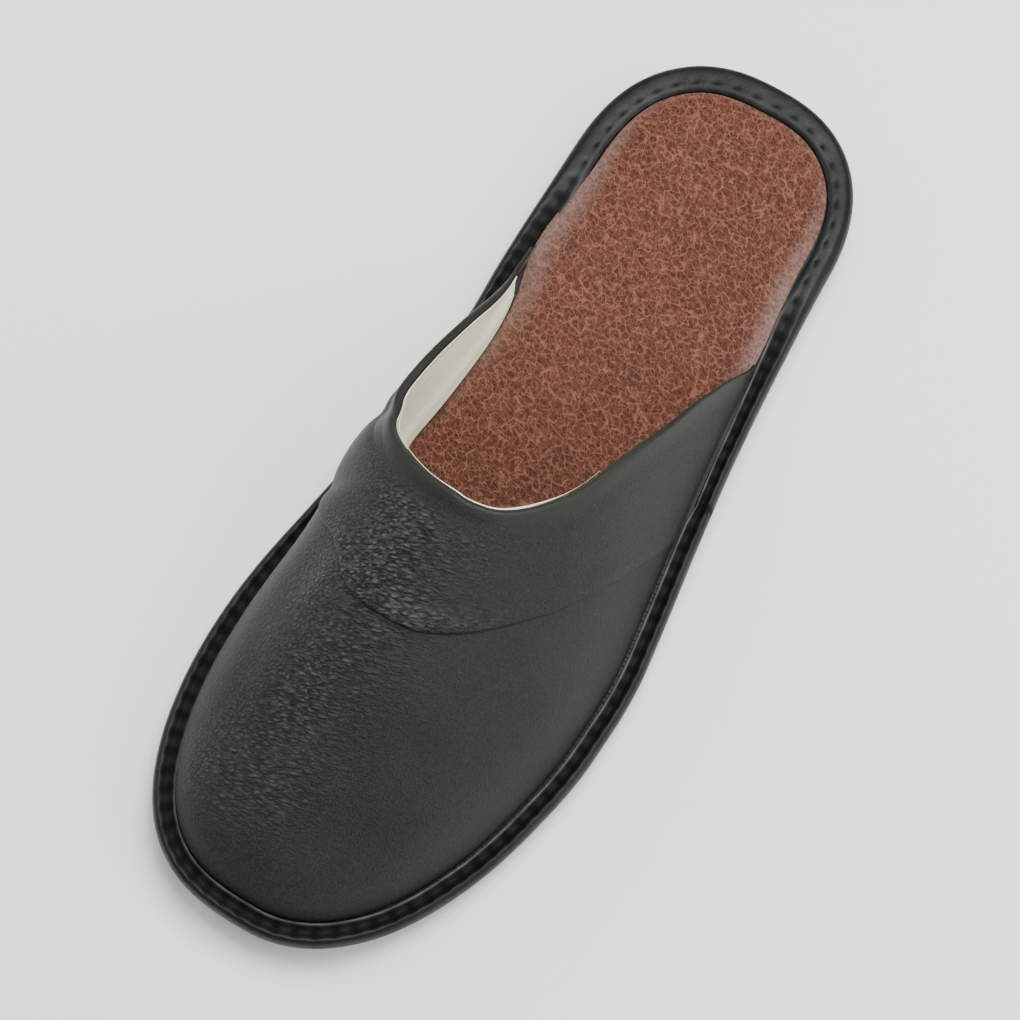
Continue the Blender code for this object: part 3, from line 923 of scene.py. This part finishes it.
class SLIPPER_OT_sole(bpy.types.Operator):
    """Rubber sole with its neck and the core inside the binding"""
    bl_idname = "slipper.sole"
    bl_label = "Sole"

    def execute(self, context):
        settings = context.scene.slipper_sole
        turn = np.arange(360) / 360
        along = along_at(turn)
        low, top = ground_rise(along), rubber_top(along)
        side, edge = RUBBER_SET_IN, settings.edge_round
        # The underside, from a line along its middle out to the rounded edge
        middle, foot = spine_ring(turn, low), ring(turn, side + edge, low)
        rings = [middle + (foot - middle) * share for share in (0, 0.35, 0.7, 0.9, 1.0)]
        for degrees in (25, 50, 75, 90):
            angle = math.radians(degrees)
            inset = side + edge * (1 - math.sin(angle))
            rings.append(ring(turn, inset, low + edge * (1 - math.cos(angle))))
        # The wall, just rounded at its top, and the core that the binding is drawn over
        core_top = seam_height(along) - DIMPLE_ROOM
        wall = ((side - 0.0001, low * 0.4 + top * 0.6), (side + 0.0001, top - 0.0003),
                (side + 0.0004, top), (CORE_INSET, top), (CORE_INSET, core_top))
        rings += [ring(turn, inset, height) for inset, height in wall]
        rings.append(spine_ring(turn, core_top))
        work = swept(rings)
        finished("sole_rubber", work, sole_rubber(settings), "sole", weld=1e-5)
        return {"FINISHED"}


def spine_ring(turn, height):
    """The ring of the sole's edge pressed flat onto a line along its middle."""
    inner = outline(turn)
    outer = outline(-turn)
    reach_in = 0.030
    y = np.clip(inner[:, 1], -SOLE_LENGTH / 2 + reach_in, SOLE_LENGTH / 2 - reach_in)
    middle = (inner[:, 0] + outer[:, 0]) / 2
    order = np.argsort(inner[:, 1])
    level = np.interp(y, inner[order, 1], height[order])
    return np.column_stack([middle, y, level])


def turns_by_length(count, inset):
    """Turns round the sole's edge at equal distances along a line inside it."""
    fine = np.linspace(0, 1, 4001)
    run = run_lengths(inset_outline(fine, inset))
    return np.interp(np.arange(count) / count * run[-1], run, fine), run[-1]


def stitch_turns(settings, each):
    """Turns round the edge with a stitch every so many of them: longer ones round the heel."""
    fine, length = turns_by_length(4000, BINDING_ROUND)
    fine = np.append(fine, 1.0)
    pitch = settings.stitch_pitch * (1 + HEEL_STITCH_GAIN * at_heel(fine))
    count = np.concatenate([[0.0], np.cumsum(length / 4000 / pitch[1:])])
    total = round(count[-1]) * each
    return np.interp(np.arange(total) / each, count * total / each / count[-1], fine)


def at_heel(turn):
    """1 round the heel, where the binding meets the insole, 0 where it meets the upper."""
    return 1 - ease(*LAP_NARROWS, along_at(turn))


def lip_inset(turn):
    return np.interp(np.mod(turn, 1.0), BINDING_LIP[:, 0], BINDING_LIP[:, 1]) * MM


def binding_points(turn, order):
    """Inset, height, groove and raw edge at turns round the sole, for a place in the section."""
    heel = at_heel(turn)
    low, high = (BINDING_SECTION[:, c] for c in (1, 4))
    values = [curve_through(BINDING_SECTION, c, order) for c in range(1, 8)]
    forefoot, round_heel = values[:3], values[3:6]
    inset, height, groove = (a * (1 - heel) + b * heel for a, b in zip(forefoot, round_heel))
    # Past the crest of its roll, the section is drawn out as far as the lip
    crest, lip = (low[row] * (1 - heel) + high[row] * heel for row in (CREST_ROW, -1))
    reach_in = (lip_inset(turn) / MM - crest) / (lip - crest)
    if order > CREST_ROW - 1:
        inset = np.where(inset > crest, crest + (inset - crest) * reach_in, inset)
    return inset * MM, height * MM, groove, values[6] * (1 - heel)


class SLIPPER_OT_binding(bpy.types.Operator):
    """Leather binding rolled over the sole's edge, dimpled at stitches and lapped at joints"""
    bl_idname = "slipper.binding"
    bl_label = "Binding"

    def execute(self, context):
        settings = context.scene.slipper_binding
        turn = stitch_turns(settings, STEPS_A_STITCH)
        base = rubber_top(along_at(turn)) + FIT_GAP
        phase = np.arange(len(turn)) / STEPS_A_STITCH
        hole = hump(np.mod(phase, 1), HOLE_WIDTH, 0.5)
        past = np.array([np.mod(turn - at + 0.5, 1) - 0.5 for at in BINDING_JOINTS])
        joint = hump(past, LAP_WIDTH).sum(0)
        slit = hump(past, SLIT_WIDTH, SLIT_BESIDE).sum(0)
        waver = sum(high * np.sin(2 * math.pi * phase / length) for high, length in WAVERS)
        plump = (1 - at_heel(turn)) * (1 - hole) * settings.plumpness
        rings, groove, raw = [], [], []
        for order in np.linspace(0, 16, 45):
            inset, height, dip, cut = binding_points(turn, order)
            shown = ease(0.0015, 0.0045, height)
            lift = (settings.joint_swell * joint - SLIT_DEPTH * slit + waver) * shown
            lift = lift + (plump - settings.hole_depth * hole) * dip * shown
            rings.append(ring(turn, inset + 0.4 * waver * shown, base + height + lift))
            # The groove mask sets the painted shade in the groove, darkest at each stitch's dimple
            # and in the slits by the joints. It also roughens the leather there and takes off its
            # coat.
            level = FOREPART_GROOVE_SHADE - HEEL_GROOVE_SHADE_LESS * at_heel(turn)
            groove.append(np.clip(dip * (level + (1 - level) * hole) + 0.8 * slit * shown, 0, 1))
            raw.append(cut * (0.8 + 0.2 * np.sin(phase * 2.3)))
        # Its underside, low enough to stay beneath the dimples
        low = BINDING_HEIGHT - BINDING_THICKNESS
        hidden = [(lip_inset(turn) - 0.0003, low), (0.0051, low - UNDERSIDE_DROP)]
        middle = BINDING_HEIGHT / 2
        depth = BINDING_ROUND - BINDING_THICKNESS
        rise = middle - BINDING_THICKNESS - UNDERSIDE_DROP
        for step in range(6):
            angle = math.pi * (0.5 - step / 5)
            inset = BINDING_ROUND - depth * math.cos(angle)
            hidden.append((inset, middle + rise * math.sin(angle)))
        hidden.append((0.0050, BINDING_THICKNESS))
        for inset, height in hidden:
            rings.append(ring(turn, inset, base + height))
            # The hidden underside gets half of the groove's painted shade.
            groove.append(np.full(len(turn), 0.5))
            raw.append(np.zeros(len(turn)))
        work = swept(rings, {"groove": groove, "raw": raw}, joined=True)
        finish = binding_leather(settings)
        finished("binding_strip", work, finish, "binding")
        return {"FINISHED"}


class SLIPPER_OT_binding_stitches(bpy.types.Operator):
    """Thread that shows in the binding's groove"""
    bl_idname = "slipper.binding_stitches"
    bl_label = "Binding stitches"

    def execute(self, context):
        settings = context.scene.slipper_binding
        turn = stitch_turns(settings, 2)[1::2]
        middles, ahead = (self.groove_ring(at, settings) for at in (turn, turn + 0.002))
        work = bmesh.new()
        for middle, way in zip(middles, ahead - middles):
            made = bmesh.ops.create_uvsphere(work, u_segments=8, v_segments=5, radius=0.5)["verts"]
            size = (settings.thread_width, settings.thread_width * 0.8, settings.stitch_length)
            bmesh.ops.scale(work, vec=size, verts=made)
            lie = Vector(way).to_track_quat("Z", "Y").to_matrix()
            bmesh.ops.rotate(work, cent=(0, 0, 0), matrix=lie, verts=made)
            bmesh.ops.translate(work, vec=middle, verts=made)
        finished("binding_stitches", work, thread(settings))
        return {"FINISHED"}

    def groove_ring(self, turn, settings):
        """Points in the bottom of the groove."""
        inset, height = binding_points(turn, GROOVE_ORDER)[:2]
        floor = rubber_top(along_at(turn)) + FIT_GAP + height - settings.hole_depth
        return ring(turn, inset, floor - settings.thread_width * 0.12)


def insole_inset(turn):
    """Edge of the insole: against the binding's lip at the heel, then inside the lining."""
    along = along_at(turn)
    wall = (UPPER_WALL + 0.0003) * ease(0.268, 0.345, along)
    inner = np.where(np.mod(turn, 1) < 0.5, 0.0009, 0.0) * ease(0.30, 0.36, along)
    at_binding = np.maximum(lip_inset(turn), lap_width(along)) * at_heel(turn)
    return at_binding + lap_width(along) * (1 - at_heel(turn)) + FIT_GAP * 0.6 + wall + inner


class SLIPPER_OT_insole(bpy.types.Operator):
    """Padded insole, crowned in its middle"""
    bl_idname = "slipper.insole"
    bl_label = "Insole"

    def execute(self, context):
        settings = context.scene.slipper_inside
        turn = np.arange(480) / 480
        low = seam_height(along_at(turn))
        inset = insole_inset(turn)
        edge = ring(turn, inset, low)
        middle = spine_ring(turn, low)
        width = np.linalg.norm((edge - middle)[:, :2], axis=1)
        rings = [middle, edge + (middle - edge) * 0.02]
        # How far the painted sheen at the edge reaches in, in millimetres: widest beside the inner
        # quarter, where it also stands for the lining's reflection
        along = along_at(turn)
        wider = np.where(turn < 0.5, 6.5 * hump(along, 0.16, 0.30), 3.5 * hump(along, 0.12, 0.20))
        reach_in = 3.5 + wider
        strength = 0.35 + 0.65 * hump(along, 0.15, 0.24)
        rim = [strength, strength]
        for degrees in (0, 30, 60, 90):
            angle = math.radians(degrees)
            rings.append(ring(turn, inset + INSOLE_ROUND * (1 - math.cos(angle)),
                              low + settings.edge_height - INSOLE_ROUND * (1 - math.sin(angle))))
            rim.append(strength)
        for distance in INSOLE_ROWS:
            share = np.clip(distance * MM / width, 0, 1)[:, None]
            point = edge + (middle - edge) * share
            rise = np.sin(np.clip(distance * MM / settings.crown_width, 0, 1) * math.pi / 2)
            level = point[:, 2] + settings.edge_height + settings.crown * rise
            # A slight unevenness in the padding
            x, y = point[:, 0] / MM, point[:, 1] / MM
            level += MM * (0.18 * np.sin(x * 0.16 + y * 0.07) * np.sin(y * 0.11 + 0.8) * rise)
            rings.append(np.column_stack([point[:, :2], level]))
            rim.append(strength * np.clip(1.15 - distance / reach_in, 0, 1))
        work = swept(rings, {"edge": rim})
        finish = sock_leather(settings)
        pad = finished("insole_pad", work, finish, "insole", weld=1e-5)
        return {"FINISHED"}


def grain_mask(points):
    """1 on the ridge and inner instep, where the leather is drawn into ripples, 0 elsewhere."""
    x, y = points[..., 0] / MM, points[..., 1] / MM
    off = x - GRAIN_MIDDLE - GRAIN_LEAN * (y - GRAIN_LEAN_FROM)
    ridge = hump(off, np.where(off > 0, *GRAIN_WIDTHS))
    patch = 0.82 + 0.18 * np.sin(x * 0.21 + 1.0) * np.sin(y * 0.13)
    ends = ease(*GRAIN_ENDS, y) * (1 - 0.22 * ease(*GRAIN_THINS, y))
    return np.clip(1.15 * ridge * patch * ends, 0, 1)


class SLIPPER_OT_vamp(bpy.types.Operator):
    """Vamp leather from under the band down to the sole"""
    bl_idname = "slipper.vamp"
    bl_label = "Vamp"

    def execute(self, context):
        settings = context.scene.slipper_upper
        t = np.linspace(0.02, 0.98, 374)[:, None]
        start = np.clip(curve_through(BAND_FRONT, 1, t) - VAMP_OVERLAP, 0.05, 0.93)
        steps = np.sin(np.linspace(0, math.pi / 2, 78))[None, :]
        w = start + (1 - start) * steps
        outer, normal, _ = last_frame(np.broadcast_to(t, w.shape), w)
        # Skived thin at the tails, to stay outside the lining
        thick = np.minimum(VAMP_THICKNESS, 0.55 * rim_depth(t))[..., None]
        inner = outer - normal * thick
        # Both sides run on down to the seam
        low = seam_height(along_at(seam_turn(t[:, 0]))) + FOOT_CLEARANCE
        foot = np.column_stack([seam_plan(t[:, 0]), low])
        tucked = foot - normal[:, -1] * thick[:, 0]
        tucked[:, 2] = low
        outer = np.concatenate([outer, foot[:, None]], 1)
        inner = np.concatenate([inner, tucked[:, None]], 1)
        grain = grain_mask(outer)
        values = {"grain": np.concatenate([grain, grain[:, ::-1]], 1)}
        work = swept(closed_sections(outer, inner), values)
        finish = upper_leather("vamp leather", settings)
        finished("vamp_leather", work, finish, "upper")
        return {"FINISHED"}


def below_roll(t, roll):
    """Drop at which the last's wall comes out from under the topline's roll."""
    first, second = (last_point(t, np.full_like(t, w)) for w in (0.0, 0.01))
    reach_down = np.linalg.norm(second - first, axis=-1) / 0.01
    return np.clip(roll / reach_down, 0.002, 0.3 * curve_through(BAND_FRONT, 1, t))


class SLIPPER_OT_band(bpy.types.Operator):
    """Instep band with its folded, puckered front edge and its rolled topline"""
    bl_idname = "slipper.band"
    bl_label = "Instep band"

    def execute(self, context):
        settings = context.scene.slipper_upper
        t = np.linspace(0, 1, 460)[:, None]
        front = curve_through(BAND_FRONT, 1, t)
        roll = settings.roll_height
        # Thinner on the outer side and at its inner tail
        thin = (1 - 0.45 * ease(0.60, 0.72, t)) * (1 - 0.3 * ease(0.34, 0.22, t))
        thick = settings.band_thickness * thin
        start = below_roll(t, roll)
        # From the topline's roll down to the front edge, closest together at the edge
        steps = np.concatenate([np.linspace(0, 0.12, 9), np.linspace(0.12, 0.86, 30)[1:],
                                0.86 + 0.14 * np.linspace(0, 1, 21)[1:] ** 0.8])
        w = start + (front - start) * steps[None, :]
        points, normal, up = last_frame(np.broadcast_to(t, w.shape), w)
        run = run_lengths(points)
        from_edge = run[:, -1:] - run
        phase = 2 * math.pi * t * SEAM_LENGTH / settings.pucker_pitch
        pucker = (np.sin(phase + 2.6 * np.sin(t * 47) + 90 * from_edge)
                  + 0.7 * np.sin(phase * 0.61 + 3.1 * np.sin(t * 83)))
        folded = ease(0.26, 0.46, t) * (1 - 0.80 * ease(0.56, 0.70, t)) * ease(0.0, 0.02, 1 - front)
        gathered = folded * (0.55 + 0.45 * np.sin(t * 71 + 1.3 * np.sin(t * 31)))
        edge_round = np.minimum(from_edge / 0.0008, 1)
        lift = thick * np.sqrt(1 - (1 - edge_round) ** 2) + LAYER_GAP
        lift += folded * settings.fold_height * hump(from_edge, *FOLD)
        puckers = gathered * settings.pucker_depth * pucker
        lift += puckers * hump(from_edge, *PUCKERS) * edge_round
        lift -= folded * 0.00030 * hump(from_edge, *DIP)
        # The hollow under the rolled topline, deepest on the inner side
        hollow = 0.00025 + 0.00095 * hump(t, 0.12, 0.20) + 0.0003 * hump(t, 0.12, 0.42)
        lift -= hollow * hump(run, *HOLLOW) * (1 - ease(0.80, 0.92, t)) * ease(0.0, 0.06, t)
        outer = points + normal * lift[..., None]
        low = seam_height(along_of(points[..., 1])) + SKIRT
        outer[..., 2] = np.maximum(outer[..., 2], low)
        inner = points - normal * 0.00002
        # The roll: an ellipse from the band's face over the topline to the lining's face
        top, face, rise = points[:, 0], normal[:, 0], up[:, 0]
        depth = rim_depth(t)[:, 0]
        slim = 0.25 + 0.75 * np.minimum(depth / 0.0017, 1)
        half, middle = (lift[:, 0] + depth) / 2, (lift[:, 0] - depth) / 2
        rolled = []
        for degrees in range(15, 181, 15):
            angle = math.radians(degrees)
            out = (middle + half * math.cos(angle))[:, None]
            over = (slim * roll * math.sin(angle))[:, None]
            rolled.append(top + face * out + rise * over)
        turn_in = (settings.turn_in * slim)[:, None]
        tuck = top - face * depth[:, None] - rise * turn_in
        back = top - face * (depth * 0.7)[:, None] - rise * turn_in
        rolled += [tuck, back, top - face * 0.0002]
        rolled = np.stack(rolled[::-1], 1)
        sections = np.concatenate([rolled, outer, inner[:, :0:-1]], 1)
        grain = grain_mask(outer) * ease(0.0030, 0.0095, run)
        # Ripples on the folded edge as well. Their tops carry the painted highlight that lightens
        # the fold.
        grain += 0.55 * folded * hump(from_edge, 0.0036, 0.0028)
        # Neither the roll nor the inside has any grain
        beyond = ((0, 0), (rolled.shape[1], inner.shape[1] - 1))
        grain = np.pad(np.clip(grain, 0, 1), beyond)
        # smooth marks the rolled topline. The leather finish gives it less grain and roughness and
        # paints it paler as a sheen.
        smooth = 1 - np.pad(ease(0.0015, 0.0060, run), beyond)
        work = swept(sections, {"grain": grain, "smooth": smooth})
        finish = upper_leather("band leather", settings)
        finished("instep_band_leather", work, finish, "instep_band")
        return {"FINISHED"}


class SLIPPER_OT_lining(bpy.types.Operator):
    """Cream lining inside the upper, and its edge along the topline"""
    bl_idname = "slipper.lining"
    bl_label = "Lining"

    def execute(self, context):
        settings = context.scene.slipper_inside
        cloth = lining_cloth(settings)
        roll = context.scene.slipper_upper.roll_height
        t = np.linspace(0.028, 0.955, 240)[:, None]
        steps = np.sin(np.linspace(0, math.pi / 2, 64))[None, :]
        start = below_roll(t, roll * 0.7 + 0.0016 * ease(0.72, 0.84, t))
        w = start + (1 - start) * steps
        points, normal, _ = last_frame(np.broadcast_to(t, w.shape), w)
        depth = np.broadcast_to(rim_depth(t), w.shape)[..., None] + LAYER_GAP
        # A shallow bunch where the lining turns onto the insole
        run = run_lengths(points)
        bunch = 0.0005 * hump(run[:, -1:] - run, 0.0030, 0.0035)[..., None] * (depth > 0.001)
        # It stands in from the inner wall towards its foot, to meet the insole
        stand = (0.0014 * (1 - ease(0.34, 0.46, t)) + 0.0003) * ease(0.1, 1.0, w)
        stand *= ease(0, 0.045, t)
        outer = points - normal * depth * 0.6
        inner = points - normal * (depth + LEAST_LAYER + bunch + stand[..., None])
        foot = points[:, -1:].copy()
        foot[..., 2] = seam_height(along_at(seam_turn(t))) + FOOT_CLEARANCE
        outer = np.concatenate([outer, foot - normal[:, -1:] * depth[:, -1:] * 0.6], 1)
        tucked = foot - normal[:, -1:] * (depth + stand[..., None] + 0.0004)[:, -1:]
        inner = np.concatenate([inner, tucked], 1)
        work = swept(closed_sections(outer, inner))
        finished("lining_cloth", work, cloth)
        # The edge of the lining, a bead that is fullest across the throat's outer half and hidden
        # where the leather is turned over it
        t = np.linspace(0.04, 0.80, 376)[:, None]
        points, normal, up = (made[:, 0] for made in last_frame(t, np.full_like(t, 0.002)))
        shown = 0.24 + 0.71 * ease(0.40, 0.52, t) * (1 - ease(0.66, 0.78, t))
        shown *= 1 - 0.8 * ease(0.70, 0.79, t)
        radius = settings.bead_width / 2 * np.clip(shown, 0.08, 1)
        centre = points - normal * (rim_depth(t) + radius * 0.35) + up * (roll * 0.12)
        angles = np.linspace(0, 2 * math.pi, 11)[:-1]
        bead = [centre + radius * (normal * math.cos(a) + up * math.sin(a)) for a in angles]
        work = swept(np.stack(bead, 1))
        finished("lining_edge", work, cloth)
        return {"FINISHED"}


class SLIPPER_OT_stage(bpy.types.Operator):
    """Pale floor, soft studio light and the camera"""
    bl_idname = "slipper.stage"
    bl_label = "Stage"

    def execute(self, context):
        settings = context.scene.slipper_stage
        work = bmesh.new()
        bmesh.ops.create_grid(work, x_segments=1, y_segments=1, size=6.0)
        bmesh.ops.translate(work, vec=(0, 0, -0.0002), verts=work.verts)
        mesh = bpy.data.meshes.new("floor")
        work.to_mesh(mesh)
        work.free()
        mesh.materials.append(floor_finish(settings))
        placed("floor", mesh)
        for name, at, size in LIGHTS:
            lamp = bpy.data.lights.new(name, "AREA")
            lamp.energy = getattr(settings, name + "_power")
            lamp.size = size
            placed(name, lamp, at, LIGHTS_AIM)
        world = bpy.data.worlds.new("studio")
        context.scene.world = world
        world.use_nodes = True
        sky = world.node_tree.nodes["Background"]
        sky.inputs["Color"].default_value = (1.0, 1.0, 1.0, 1.0)
        sky.inputs["Strength"].default_value = settings.sky
        lens = bpy.data.cameras.new("camera")
        lens.sensor_width = 36.0
        lens.lens = settings.lens
        context.scene.camera = placed("camera", lens, CAMERA_AT, CAMERA_AIM)
        return {"FINISHED"}


class SLIPPER_PT_parts(bpy.types.Panel):
    """Lists the slipper's operators"""
    bl_idname = "SLIPPER_PT_parts"
    bl_label = "House Slipper"
    bl_space_type = "VIEW_3D"
    bl_region_type = "UI"
    bl_category = "Slipper"

    def draw(self, context):
        for operator in OPERATORS:
            self.layout.operator(operator.bl_idname)
        for group in SETTINGS:
            box = self.layout.box()
            for name in SETTINGS[group].__annotations__:
                box.prop(getattr(context.scene, group), name)


SETTINGS = {
    "slipper_upper": UpperSettings,
    "slipper_binding": BindingSettings,
    "slipper_inside": InsideSettings,
    "slipper_sole": SoleSettings,
    "slipper_stage": StageSettings,
}
OPERATORS = (
    SLIPPER_OT_stage,
    SLIPPER_OT_sole,
    SLIPPER_OT_binding,
    SLIPPER_OT_binding_stitches,
    SLIPPER_OT_insole,
    SLIPPER_OT_lining,
    SLIPPER_OT_vamp,
    SLIPPER_OT_band,
)


def register():
    for made in (*SETTINGS.values(), *OPERATORS, SLIPPER_PT_parts):
        bpy.utils.register_class(made)
    for name, group in SETTINGS.items():
        setattr(bpy.types.Scene, name, bpy.props.PointerProperty(type=group))


def unregister():
    for name in SETTINGS:
        delattr(bpy.types.Scene, name)
    for made in (SLIPPER_PT_parts, *reversed(OPERATORS), *reversed(SETTINGS.values())):
        bpy.utils.unregister_class(made)


def main():
    register()
    for operator in OPERATORS:
        group, name = operator.bl_idname.split(".")
        getattr(getattr(bpy.ops, group), name)()
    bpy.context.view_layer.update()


if __name__ == "__main__":
    main()
